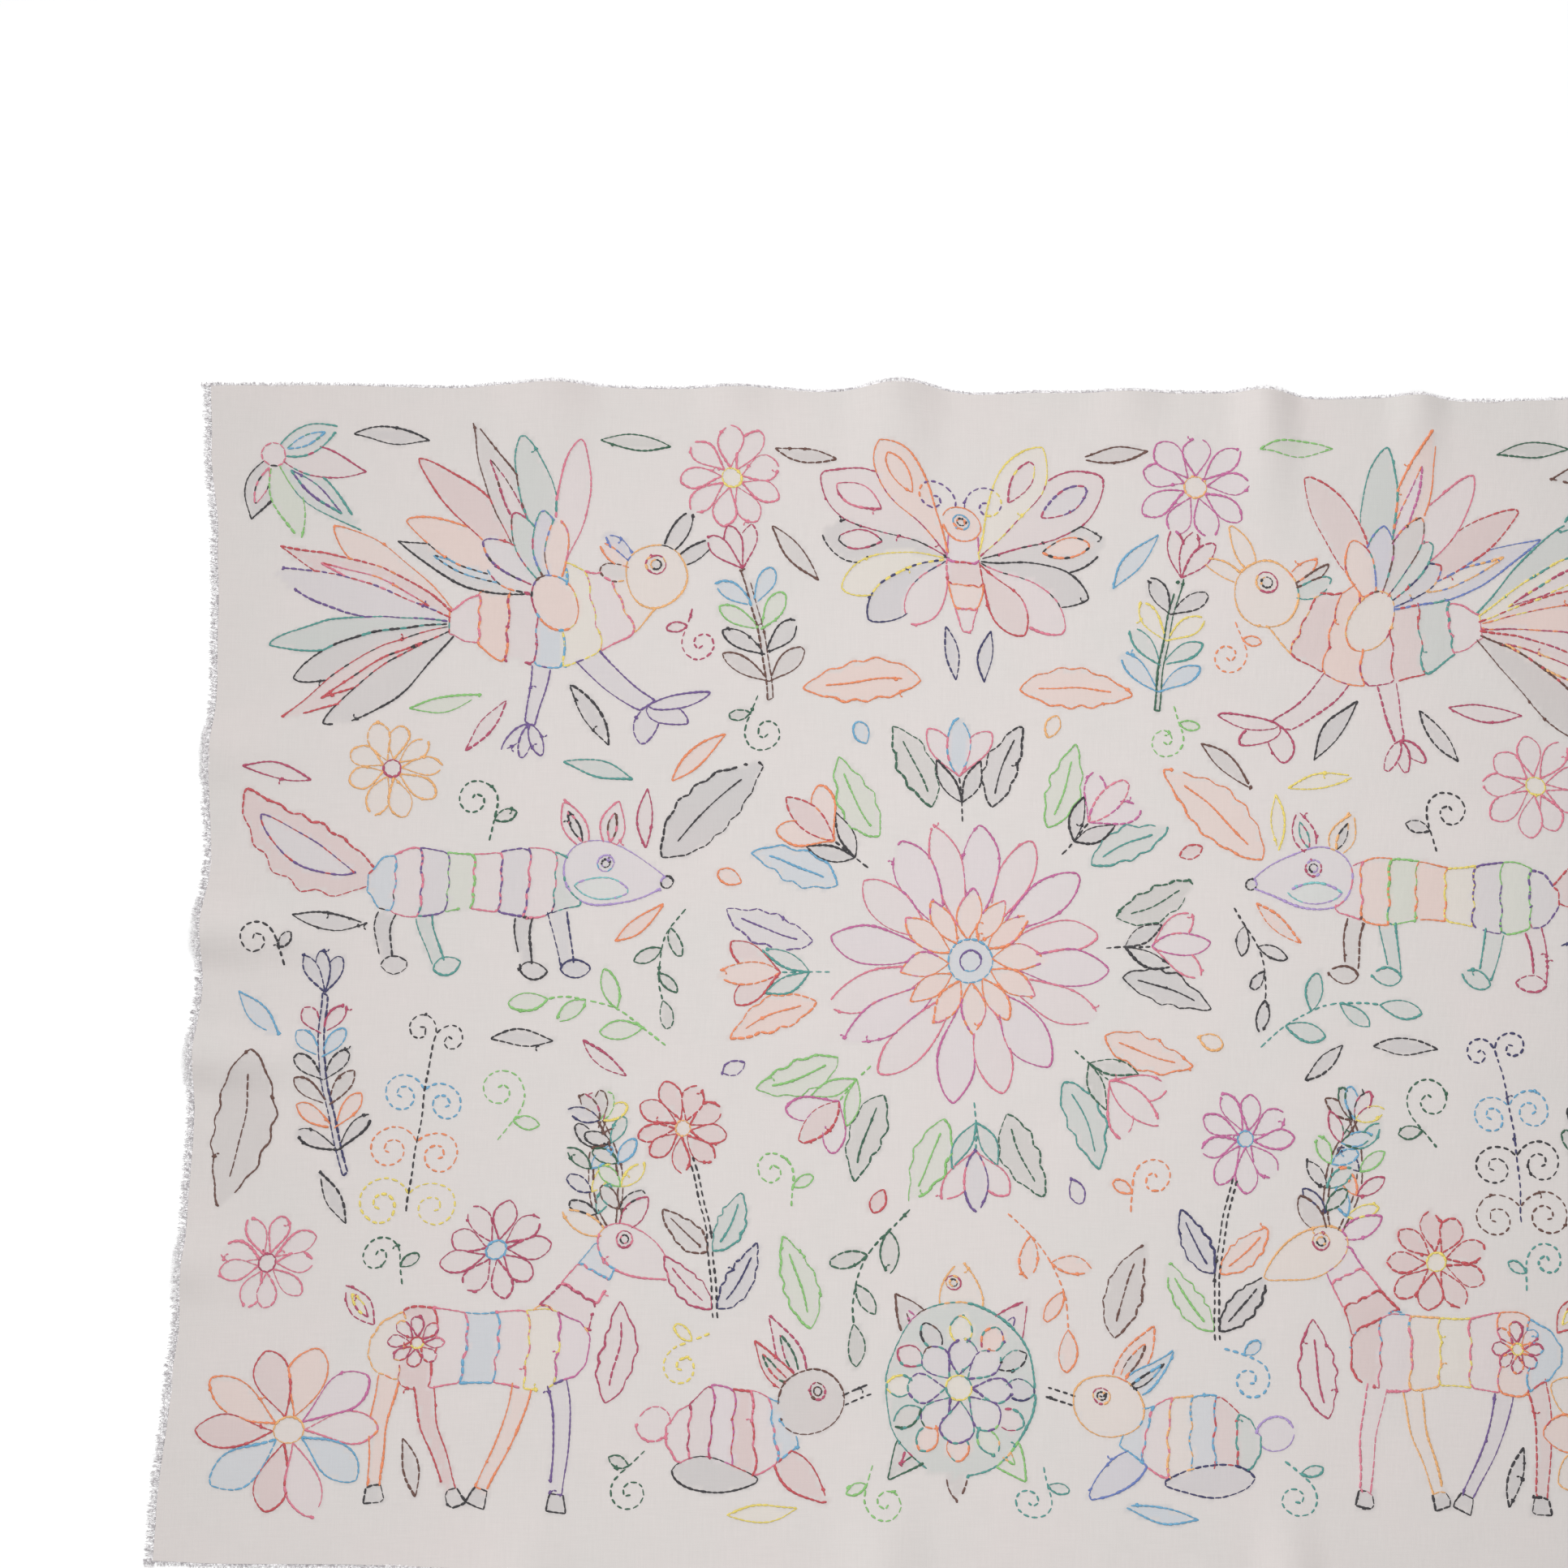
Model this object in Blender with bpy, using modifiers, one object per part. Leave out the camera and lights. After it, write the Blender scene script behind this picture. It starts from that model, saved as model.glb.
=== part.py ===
"""An embroidered cotton cloth that lies flat, with bowed raw edges and rippled margins.

Metres, +Z up. The origin is the middle of the cloth, on the surface that it lies on.
+X runs along the long side, and +Y towards the edge that is at the top of the embroidery.
"""

import math
from collections import namedtuple

import bmesh
import bpy

# Driving dimensions
LONG_SIDE = 0.900
SHORT_SIDE = 0.700
THICKNESS = 0.0012

# Mesh lines: even steps, lines near the edges, and lines over each ripple
LONG_STEPS = 14
SHORT_STEPS = 10
MARGIN_LINES = (0.010, 0.024, 0.042, 0.065)
LINES_OVER_RIPPLE = (-1.0, -0.75, -0.5, -0.25, 0.0, 0.25, 0.5, 0.75, 1.0)
LEAST_SPACING = 0.0045

MUSLIN_COLOUR = (0.60, 0.55, 0.53, 1.0)
MUSLIN_ROUGHNESS = 0.9

# The stitching draws the middle in, so each edge wanders from the straight line between its corners.
# along is the share of the edge from its left or lower end, and out_mm is positive away from the cloth.
Bow = namedtuple("Bow", "along out_mm")
EDGE_BOWS = {
    "top": (
        Bow(0.00, 0.0),
        Bow(0.08, 0.8),
        Bow(0.165, -0.2),
        Bow(0.20, 2.4),
        Bow(0.24, 2.6),
        Bow(0.29, 0.8),
        Bow(0.365, 2.1),
        Bow(0.41, 0.1),
        Bow(0.465, 4.8),
        Bow(0.51, -0.6),
        Bow(0.55, 1.1),
        Bow(0.61, 1.9),
        Bow(0.70, 2.4),
        Bow(0.735, -1.0),
        Bow(0.80, 1.0),
        Bow(0.83, -1.2),
        Bow(0.92, 0.8),
        Bow(1.00, 0.0),
    ),
    "left": (
        Bow(0.00, 0.0),
        Bow(0.04, -0.6),
        Bow(0.15, -5.6),
        Bow(0.19, -8.2),
        Bow(0.23, -7.6),
        Bow(0.27, -9.8),
        Bow(0.36, -11.2),
        Bow(0.415, -8.7),
        Bow(0.47, -12.2),
        Bow(0.525, -9.4),
        Bow(0.575, -13.4),
        Bow(0.67, -9.4),
        Bow(0.72, -12.2),
        Bow(0.79, -11.0),
        Bow(0.86, -8.6),
        Bow(0.94, -2.2),
        Bow(1.00, 0.0),
    ),
    "right": (
        Bow(0.00, 0.0),
        Bow(0.14, -4.4),
        Bow(0.30, -8.6),
        Bow(0.41, -6.4),
        Bow(0.56, -9.8),
        Bow(0.67, -7.0),
        Bow(0.84, -6.6),
        Bow(1.00, 0.0),
    ),
    "bottom": (
        Bow(0.00, 0.0),
        Bow(0.05, 1.2),
        Bow(0.12, 0.8),
        Bow(0.23, 2.8),
        Bow(0.34, 1.2),
        Bow(0.45, 3.4),
        Bow(0.58, 0.8),
        Bow(0.70, 2.4),
        Bow(0.86, 0.4),
        Bow(1.00, 0.0),
    ),
}

# The loose margins stand off the surface in soft ripples, highest at the edge and gone at reach.
Ripple = namedtuple("Ripple", "edge along half_width reach height")
RIPPLES = (
    Ripple("top", 0.230, 0.034, 0.075, 0.0070),
    Ripple("top", 0.350, 0.026, 0.060, 0.0035),
    Ripple("top", 0.456, 0.034, 0.110, 0.0090),
    Ripple("top", 0.610, 0.028, 0.060, 0.0035),
    Ripple("top", 0.700, 0.024, 0.125, 0.0085),
    Ripple("top", 0.800, 0.022, 0.100, 0.0050),
    Ripple("top", 0.920, 0.028, 0.070, 0.0050),
    Ripple("left", 0.670, 0.026, 0.080, 0.0040),
    Ripple("left", 0.515, 0.024, 0.140, 0.0080),
    Ripple("left", 0.410, 0.022, 0.125, 0.0070),
    Ripple("left", 0.240, 0.026, 0.080, 0.0050),
    Ripple("right", 0.670, 0.026, 0.110, 0.0070),
    Ripple("right", 0.410, 0.022, 0.085, 0.0050),
    Ripple("bottom", 0.230, 0.034, 0.070, 0.0050),
    Ripple("bottom", 0.450, 0.034, 0.090, 0.0070),
    Ripple("bottom", 0.700, 0.024, 0.080, 0.0050),
)


def edge_length(edge):
    return LONG_SIDE if edge in ("top", "bottom") else SHORT_SIDE


def bow_at(edge, along):
    """How far the edge stands out there, in metres, eased from one row of its table to the next."""
    rows = EDGE_BOWS[edge]
    before = max((row for row in rows if row.along <= along), key=lambda row: row.along, default=rows[0])
    after = min((row for row in rows if row.along >= along), key=lambda row: row.along, default=rows[-1])
    if after.along == before.along:
        return before.out_mm / 1000
    share = (along - before.along) / (after.along - before.along)
    eased = share * share * (3 - 2 * share)
    return (before.out_mm + (after.out_mm - before.out_mm) * eased) / 1000


def ripple_height(ripple, across, inward):
    """Height of one ripple, at a distance across from its crest and inward from its edge."""
    if abs(across) >= ripple.half_width or inward >= ripple.reach:
        return 0.0
    wave = 0.5 + 0.5 * math.cos(math.pi * across / ripple.half_width)
    fading = 1 - inward / ripple.reach
    return ripple.height * wave * fading * fading


def lift_at(u, v):
    """How far the cloth stands off the surface, for a place on the flat cut cloth."""
    inward = {
        "top": SHORT_SIDE / 2 - v,
        "bottom": SHORT_SIDE / 2 + v,
        "left": LONG_SIDE / 2 + u,
        "right": LONG_SIDE / 2 - u,
    }
    height = 0.0
    for ripple in RIPPLES:
        place = u if ripple.edge in ("top", "bottom") else v
        crest = (ripple.along - 0.5) * edge_length(ripple.edge)
        height = max(height, ripple_height(ripple, place - crest, inward[ripple.edge]))
    return height


def laid(u, v):
    """Where a place on the flat cut cloth lies, with the edges bowed and the margins rippled."""
    from_left = u / LONG_SIDE + 0.5
    from_bottom = v / SHORT_SIDE + 0.5
    x = u + bow_at("right", from_bottom) * from_left - bow_at("left", from_bottom) * (1 - from_left)
    y = v + bow_at("top", from_left) * from_bottom - bow_at("bottom", from_left) * (1 - from_bottom)
    return x, y, lift_at(u, v)


def mesh_lines(side, steps, edges):
    """Sorted places of the mesh lines across one side of the cloth, from -side/2 to side/2."""
    half = side / 2
    places = [side * step / steps - half for step in range(1, steps)]
    for inset in MARGIN_LINES:
        places += [inset - half, half - inset]
    for ripple in RIPPLES:
        if ripple.edge in edges:
            crest = (ripple.along - 0.5) * side
            places += [crest + share * ripple.half_width for share in LINES_OVER_RIPPLE]
    kept = [-half]
    for place in sorted(places):
        if place - kept[-1] > LEAST_SPACING and half - place > LEAST_SPACING:
            kept.append(place)
    return [*kept, half]


def muslin():
    material = bpy.data.materials.new("muslin")
    material.use_nodes = True
    shader = material.node_tree.nodes["Principled BSDF"]
    shader.inputs["Base Color"].default_value = MUSLIN_COLOUR
    shader.inputs["Roughness"].default_value = MUSLIN_ROUGHNESS
    shader.inputs["Metallic"].default_value = 0.0
    return material


def cloth_mesh():
    """The underside of the cloth: a grid whose lines crowd over the ripples, laid out on the surface."""
    columns = mesh_lines(LONG_SIDE, LONG_STEPS, ("top", "bottom"))
    rows = mesh_lines(SHORT_SIDE, SHORT_STEPS, ("left", "right"))
    grid = bmesh.new()
    bmesh.ops.create_grid(grid, x_segments=len(columns) - 1, y_segments=len(rows) - 1, size=0.5)
    for corner in grid.verts:
        column = round((corner.co.x + 0.5) * (len(columns) - 1))
        row = round((corner.co.y + 0.5) * (len(rows) - 1))
        corner.co = laid(columns[column], rows[row])
    mesh = bpy.data.meshes.new("embroidered_cloth")
    grid.to_mesh(mesh)
    grid.free()
    return mesh


def embroidered_cloth():
    cloth = bpy.data.objects.new("embroidered_cloth", cloth_mesh())
    cloth.data.materials.append(muslin())
    cloth.data.shade_smooth()
    body = cloth.modifiers.new("thickness", "SOLIDIFY")
    body.thickness = THICKNESS
    body.offset = 1.0
    return cloth


def main():
    for left_over in list(bpy.data.objects):
        bpy.data.objects.remove(left_over, do_unlink=True)
    group = bpy.data.collections.new("otomi_embroidered_cloth")
    bpy.context.scene.collection.children.link(group)
    group.objects.link(embroidered_cloth())


main()
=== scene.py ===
"""The looks of an embroidered cotton cloth that lies flat, wrong side up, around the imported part.

Metres, +Z up, in the part's own frame. The drawing of the embroidery is in millimetres on the
flat cut cloth, as complex numbers: the real part runs along +X and the imaginary part along +Y.
"""

import math
from collections import namedtuple

import bmesh
import bpy
import numpy as np
from mathutils import Matrix, Vector


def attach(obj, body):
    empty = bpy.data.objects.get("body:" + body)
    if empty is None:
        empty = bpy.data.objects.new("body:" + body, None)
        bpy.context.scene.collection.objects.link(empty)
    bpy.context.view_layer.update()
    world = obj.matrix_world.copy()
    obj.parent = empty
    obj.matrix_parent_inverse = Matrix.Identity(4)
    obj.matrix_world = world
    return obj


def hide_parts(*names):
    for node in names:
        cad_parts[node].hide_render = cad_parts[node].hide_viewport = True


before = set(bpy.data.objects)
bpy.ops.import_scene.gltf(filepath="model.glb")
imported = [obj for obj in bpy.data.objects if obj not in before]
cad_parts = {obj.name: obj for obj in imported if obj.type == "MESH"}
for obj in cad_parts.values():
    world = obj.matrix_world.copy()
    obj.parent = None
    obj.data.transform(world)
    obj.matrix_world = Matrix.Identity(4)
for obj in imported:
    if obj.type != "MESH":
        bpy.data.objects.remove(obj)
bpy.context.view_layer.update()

MM = 0.001

# The cut cloth, as the part has it
LONG_SIDE = 0.900
SHORT_SIDE = 0.700
MID_HEIGHT = 0.0006  # the middle of the cloth above the surface, under a flat stretch
CLOTH_THICKNESS = 0.0004
FLOOR_HEIGHT = -0.0002  # just under the lowest yarn ends
FLOOR_REACH = 9.0

# The bare yarn ends outside the woven cloth
FRAY = {"left": 0.0056, "right": 0.0052, "top": 0.0026, "bottom": 0.0030}
YARN_SPACING = 0.00050
YARN_ROOT = 0.0012  # what each end has inside the weave
YARN_DROP = 0.0003  # how far the ends sink towards the surface
LOOSE_YARN = (0.025, 0.110)  # shortest and longest yarn lying along an edge
LOOSE_YARN_SPACING = 0.024
YARN_RADII = (0.24, 0.24, 0.21, 0.16)  # mm, from the root of an end to its tip
LOOSE_YARN_RADIUS = 0.16  # mm

# Mesh of the cloth
COLUMNS = 250
ROWS = 194

Bow = namedtuple("Bow", "along out_mm")
EDGE_BOWS = {
    "top": (
        Bow(0.00, 0.0),
        Bow(0.08, 0.8),
        Bow(0.165, -0.2),
        Bow(0.20, 2.4),
        Bow(0.24, 2.6),
        Bow(0.29, 0.8),
        Bow(0.365, 2.1),
        Bow(0.41, 0.1),
        Bow(0.465, 4.8),
        Bow(0.51, -0.6),
        Bow(0.55, 1.1),
        Bow(0.61, 1.9),
        Bow(0.70, 2.4),
        Bow(0.735, -1.0),
        Bow(0.80, 1.0),
        Bow(0.83, -1.2),
        Bow(0.92, 0.8),
        Bow(1.00, 0.0),
    ),
    "left": (
        Bow(0.00, 0.0),
        Bow(0.04, -0.6),
        Bow(0.15, -5.6),
        Bow(0.19, -8.2),
        Bow(0.23, -7.6),
        Bow(0.27, -9.8),
        Bow(0.36, -11.2),
        Bow(0.415, -8.7),
        Bow(0.47, -12.2),
        Bow(0.525, -9.4),
        Bow(0.575, -13.4),
        Bow(0.67, -9.4),
        Bow(0.72, -12.2),
        Bow(0.79, -11.0),
        Bow(0.86, -8.6),
        Bow(0.94, -2.2),
        Bow(1.00, 0.0),
    ),
    "right": (
        Bow(0.00, 0.0),
        Bow(0.14, -4.4),
        Bow(0.30, -8.6),
        Bow(0.41, -6.4),
        Bow(0.56, -9.8),
        Bow(0.67, -7.0),
        Bow(0.84, -6.6),
        Bow(1.00, 0.0),
    ),
    "bottom": (
        Bow(0.00, 0.0),
        Bow(0.05, 1.2),
        Bow(0.12, 0.8),
        Bow(0.23, 2.8),
        Bow(0.34, 1.2),
        Bow(0.45, 3.4),
        Bow(0.58, 0.8),
        Bow(0.70, 2.4),
        Bow(0.86, 0.4),
        Bow(1.00, 0.0),
    ),
}

Ripple = namedtuple("Ripple", "edge along half_width reach height")
RIPPLES = (
    Ripple("top", 0.230, 0.034, 0.075, 0.0070),
    Ripple("top", 0.350, 0.026, 0.060, 0.0035),
    Ripple("top", 0.456, 0.034, 0.110, 0.0090),
    Ripple("top", 0.610, 0.028, 0.060, 0.0035),
    Ripple("top", 0.700, 0.024, 0.125, 0.0085),
    Ripple("top", 0.800, 0.022, 0.100, 0.0050),
    Ripple("top", 0.920, 0.028, 0.070, 0.0050),
    Ripple("left", 0.670, 0.026, 0.080, 0.0040),
    Ripple("left", 0.515, 0.024, 0.140, 0.0080),
    Ripple("left", 0.410, 0.022, 0.125, 0.0070),
    Ripple("left", 0.240, 0.026, 0.080, 0.0050),
    Ripple("right", 0.670, 0.026, 0.110, 0.0070),
    Ripple("right", 0.410, 0.022, 0.085, 0.0050),
    Ripple("bottom", 0.230, 0.034, 0.070, 0.0050),
    Ripple("bottom", 0.450, 0.034, 0.090, 0.0070),
    Ripple("bottom", 0.700, 0.024, 0.080, 0.0050),
)

# The camera at the photograph's viewing angle
VIEW_AIM = (-0.1026, 0.1044, 0.0)
VIEW_DISTANCE = 2.798
VIEW_TILT = 17.36  # degrees from straight down
VIEW_ROLL = 0.66
VIEW_LENS = 111.30
VIEW_FRAME = 36  # mm, the width of the frame that the lens fills

# One lamp rakes across the folds, and three soft ones above light the middle more than the margins
WORLD_STRENGTH = 0.389
Lamp = namedtuple("Lamp", "name place aim size watts")
LAMPS = (
    Lamp("raking", (-2.6, 2.2, 1.1), (0, 0, 0), 1.2, 46),
    Lamp("upper", (0.06, 0.75, 1.35), (0.06, 0.75, 0), 0.5, 5.2),
    Lamp("lower", (-0.18, -0.95, 1.35), (-0.18, -0.95, 0), 0.6, 10.6),
    Lamp("middle", (0.03, 0.17, 1.05), (0.03, 0.17, 0), 0.45, 4.8),
)

# Thread colours, as sRGB from 0 to 255
THREADS = {
    "crimson": (172, 60, 94),
    "magenta": (188, 94, 148),
    "rose": (212, 114, 136),
    "red": (188, 64, 72),
    "orange": (228, 132, 84),
    "amber": (228, 170, 106),
    "yellow": (226, 206, 100),
    "lime": (128, 188, 104),
    "green": (30, 88, 62),
    "teal": (68, 144, 136),
    "aqua": (118, 188, 188),
    "sky": (96, 160, 196),
    "blue": (98, 118, 182),
    "navy": (38, 36, 90),
    "violet": (100, 70, 134),
    "lilac": (168, 142, 198),
    "black": (26, 22, 30),
    "brown": (94, 54, 42),
}
# How far the cloth greys each filling, and how strongly it shows, beside the common one of 1
COMMON_VEIL = 0.38
THIN_VEIL = 0.20
FILLING_SHARES = {
    "magenta": 0.62,
    "rose": 0.62,
    "lilac": 0.62,
    "violet": 0.62,
    "amber": 0.62,
    "yellow": 0.62,
    "crimson": 0.62,
    "sky": 1.30,
    "blue": 1.20,
    "red": 1.10,
    "orange": 1.05,
    "teal": 1.10,
}
# The fillings that look unlike their outline's thread through the cloth
FILLINGS = {
    "black": (70, 84, 110),
    "navy": (60, 90, 150),
    "brown": (104, 84, 90),
    "violet": (110, 96, 170),
    "crimson": (190, 90, 130),
    "magenta": (190, 130, 190),
    "rose": (206, 130, 166),
}
# The threads that flowers, leaves and feathers choose from, with a favoured colour named twice
BRIGHT = ("crimson", "magenta", "rose", "red", "orange", "orange", "amber", "rose", "red", "sky", "violet")
LEAFY = ("green", "black", "teal", "sky", "black", "navy", "brown", "crimson", "orange", "yellow", "lime")
FEATHERY = (
    "crimson", "orange", "black", "navy", "red", "violet",
    "yellow", "rose", "teal", "brown", "orange", "blue",
)

# Hand stitching, in mm
THREAD_WIDTH = 1.26
THREAD_FLATNESS = 0.62  # height of the thread as a share of its width
STITCH_SIDES = 5
STITCH_STATIONS = (0, 0.13, 0.5, 0.87, 1)  # shares of a stitch's length
STITCH_RISE = (-0.30, 0.02, 0.24, 0.02, -0.30)  # height over the cloth's face at each of them
STITCH_TAPER = (0.74, 1.0, 0.74)  # width at those between the tips
TIGHT = (3.5, 1.24)  # pitch, and the share of it that the thread covers, where stitches overlap
LOOSE = (4.5, 1.10)
RUNNING = (4.9, 0.84)  # open running stitch
SHORTEST_STITCH = 1.9
LENGTH_SPREAD = 0.06  # how much the stitches of a line differ, as shares
WEIGHT_SPREAD = 0.11
WIDTH_SPREAD = 0.05
SIDE_SPREAD = 0.08
WEIGHT_RANGE = (0.72, 1.45)
DARK_LOOSE = 0.40  # share of the dark outlines that are sewn loosely
BRIGHT_LOOSE = 0.08
WOBBLE = 0.34  # the small waver of each line
DRIFT = 2.4  # how far places drift from the plan
FIRM_SIDE = (1.02, 1.30)  # how heavy the two sides of an outline are
FAINT_SIDE = (0.64, 0.92)
OPEN_TIPS = 0.35  # share of the outlines that are left open at the tip
TIP_GAP = 0.09  # the widest such gap, as a share of the outline
DARK_KNOTS = 0.042  # knots for each stitch of a dark thread
BRIGHT_KNOTS = 0.028
KNOT_STITCHES = 3
KNOT_ARM = (0.7, 1.5)  # half the length of each
HOOKED = 0.22  # share of the knots that end in a hook of thread
HOOK_STEP = 2.1
SHARED = 0.34  # share of the stitches on an edge between two fillings that have the lower one's colour
DARK = ("crimson", "red", "navy", "violet", "black", "brown", "green")
PLIES = 6  # thin strands side by side in the thread
PLY_TWIST = 0.011  # metres for one turn of them

# Puckers, in mm: how far filled places swell, stitched lines sink and bare ground waves
SWELL = 0.16
PULL = 0.30
SLACK = 0.14

draw = np.random.default_rng(11)


# Where the cloth lies


def edge_length(edge):
    return LONG_SIDE if edge in ("top", "bottom") else SHORT_SIDE


def eased_table(places, values, at):
    """Values between the rows of a table, eased from one row to the next."""
    index = np.clip(np.searchsorted(places, at, side="right") - 1, 0, len(places) - 2)
    share = np.clip((at - places[index]) / (places[index + 1] - places[index]), 0, 1)
    return values[index] + (values[index + 1] - values[index]) * share * share * (3 - 2 * share)


def bow_at(edge, along):
    rows = EDGE_BOWS[edge]
    places = np.array([row.along for row in rows])
    return eased_table(places, np.array([row.out_mm for row in rows]) * MM, along)


def lift_at(u, v):
    """How far the cloth stands off the surface, for places on the flat cut cloth."""
    inward = {
        "top": SHORT_SIDE / 2 - v,
        "bottom": SHORT_SIDE / 2 + v,
        "left": LONG_SIDE / 2 + u,
        "right": LONG_SIDE / 2 - u,
    }
    height = np.zeros_like(u)
    for ripple in RIPPLES:
        place = u if ripple.edge in ("top", "bottom") else v
        across = np.abs(place - (ripple.along - 0.5) * edge_length(ripple.edge)) / ripple.half_width
        wave = 0.5 + 0.5 * np.cos(math.pi * np.minimum(across, 1))
        fading = np.clip(1 - inward[ripple.edge] / ripple.reach, 0, 1)
        height = np.maximum(height, ripple.height * wave * fading * fading)
    return height


def laid(u, v):
    """Where places on the flat cut cloth lie, with the edges bowed and the margins rippled."""
    from_left = u / LONG_SIDE + 0.5
    from_bottom = v / SHORT_SIDE + 0.5
    x = u + bow_at("right", from_bottom) * from_left - bow_at("left", from_bottom) * (1 - from_left)
    y = v + bow_at("top", from_left) * from_bottom - bow_at("bottom", from_left) * (1 - from_bottom)
    return np.stack([x, y, lift_at(u, v) + MID_HEIGHT], axis=-1)


# Shapes of the drawing


Mark = namedtuple("Mark", "points colour closed stitch filled")


def turned(points, degrees):
    return points * np.exp(1j * math.radians(degrees))


def petal(length, width, belly=1.5, fullness=0.72, steps=17):
    """A closed petal along +X, from a narrow foot at 0 to a round tip."""
    share = 0.5 - 0.5 * np.cos(math.pi * np.linspace(0, 1, steps))
    half = width / 2 * np.sin(math.pi * share**belly).clip(0) ** fullness
    upper = share * length + 1j * half
    return np.concatenate([upper, np.conj(upper[-2:0:-1])])


def ring(radius, long=1.0, steps=20):
    angle = np.linspace(0, 2 * math.pi, steps, endpoint=False)
    return radius * (long * np.cos(angle) + 1j * np.sin(angle))


def wavy_leaf(length, width, waves=5, depth=1.5, steps=34):
    share = np.linspace(0, 1, steps)
    body = width / 2 * np.sin(math.pi * share**0.85).clip(0) ** 0.85
    wave = depth * np.sin(2 * math.pi * waves * share) * np.sin(math.pi * share)
    upper = share * length + 1j * (body + wave)
    lower = share * length - 1j * (body - wave * 0.8)
    return np.concatenate([upper, lower[-2:0:-1]])


def scroll(radius, turns=1.6, steps_a_turn=26):
    """An open scroll that leaves 0 along +X and winds in to the left."""
    angle = np.linspace(0, 2 * math.pi * turns, int(steps_a_turn * turns) + 1)
    shrinking = radius * (1 - 0.86 * angle / angle[-1])
    return 1j * radius + shrinking * np.exp(1j * (angle - math.pi / 2))


def bent(points, start, length, degrees):
    """Points whose axis turns by degrees between start and start + length on +X."""
    if degrees == 0:
        return points
    rate = math.radians(degrees) / length
    along = np.clip(points.real - start, 0, length)
    rest = points.real - start - along + 1j * points.imag
    return start + (np.exp(1j * rate * along) - 1) / (1j * rate) + np.exp(1j * rate * along) * rest


def edged(points, colour):
    return Mark(points, colour, True, "back", True)


def ringed(points, colour):
    return Mark(points, colour, True, "back", False)


def running(points, colour):
    return Mark(points, colour, False, "running", False)


def lined(points, colour):
    return Mark(points, colour, False, "back", False)


def moved(marks, x=0.0, y=0.0, turn=0.0, size=1.0):
    factor = size * np.exp(1j * math.radians(turn))
    return [mark._replace(points=mark.points * factor + (x + 1j * y)) for mark in marks]


def placed(points, colour, x, y, turn):
    """One filled shape, set down like a motif."""
    return moved([edged(points, colour)], x, y, turn)


def bent_marks(marks, start, length, degrees):
    return [mark._replace(points=bent(mark.points, start, length, degrees)) for mark in marks]


def mirrored(marks):
    return [mark._replace(points=-np.conj(mark.points)) for mark in marks]


def pick(colours):
    return str(draw.choice(colours))


def several(colours, count):
    """That many colours, with no two alike side by side."""
    chosen = []
    while len(chosen) < count:
        colour = pick(colours)
        if colour not in chosen[-1:] + (chosen[:1] if len(chosen) == count - 1 else []):
            chosen.append(colour)
    return chosen


# Flowers, leaves and scrolls


def drawn_petal(length, width, foot=0.0, belly=1.5, fullness=0.72):
    """A petal that starts at foot, with the uneven length, width and bend of one drawn by eye."""
    one = petal(length * draw.normal(1, 0.05), width * draw.normal(1, 0.07), belly, fullness)
    return bent(one, 0, length, draw.normal(0, 10)) + foot


def daisy(count=12, reach=58, width=17, core=8.5, colours=None, core_colour=None):
    """Round petals about a core, in one colour or in the colours in turn."""
    colours = colours or [pick(BRIGHT)]
    petals = []
    for k in range(count):
        one = drawn_petal(reach - core, width, core)
        petals.append(edged(turned(one, 360 * k / count + draw.normal(0, 1.3)), colours[k % len(colours)]))
    return [*petals, edged(ring(core), core_colour or pick(("sky", "amber", "crimson", "yellow")))]


def mixed_daisy(count=10, reach=50, width=20, core=8):
    """A daisy with a colour for each petal."""
    return daisy(count, reach, width, core, several(BRIGHT, count))


def double_daisy():
    """A wide flower with short pointed petals over the feet of the long ones."""
    long_ones, short_ones = 16, 12
    outer = [
        edged(turned(drawn_petal(62, 21, 18), 360 * (k + 0.5) / long_ones), ("rose", "magenta")[k % 2])
        for k in range(long_ones)
    ]
    inner = [
        edged(turned(drawn_petal(30, 13, 12, 1.0, 1.0), 360 * k / short_ones), "orange")
        for k in range(short_ones)
    ]
    return [*outer, *inner, edged(ring(12.5), "sky"), ringed(ring(6), "violet")]


def leaf(length=70, width=25, colour=None, bend=18, waves=5):
    colour = colour or pick(LEAFY)
    vein = np.linspace(0.16, 0.80, 12) * length + 0j
    marks = [edged(wavy_leaf(length, width, waves), colour), lined(vein, colour)]
    return bent_marks(marks, 0, length, bend)


def blade(length=60, width=18, colour=None, inner=None, bend=0):
    """A pointed leaf or feather, with a slim one of another colour inside it."""
    marks = [edged(petal(length, width, belly=0.95, fullness=1.15), colour or pick(FEATHERY))]
    if inner:
        slim = petal(length * 0.58, width * 0.36, belly=0.95, fullness=1.1)
        marks.append(edged(slim + length * 0.2, inner))
    return bent_marks(marks, 0, length, bend)


def slim_leaf(length=46, width=11, colour=None, bend=14):
    return blade(length, width, colour or pick(LEAFY), None, bend)


def tulip(stem=46, colour=None, leaf_colour=None):
    colour = colour or pick(("orange", "red", "magenta", "violet", "rose"))
    leaf_colour = leaf_colour or pick(("green", "black", "teal", "lime"))
    marks = [running(np.linspace(0, stem, 12) + 0j, leaf_colour)]
    for side in (1, -1):
        marks += moved(slim_leaf(32, 10, leaf_colour, bend=-16 * side), 0.42 * stem, 0, 34 * side)
        marks.append(edged(bent(petal(36, 15), 0, 36, 22 * side) * np.exp(0.42j * side) + stem, colour))
    marks.append(edged(petal(39, 15, belly=1.1) + stem, pick(BRIGHT)))
    return marks


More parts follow.
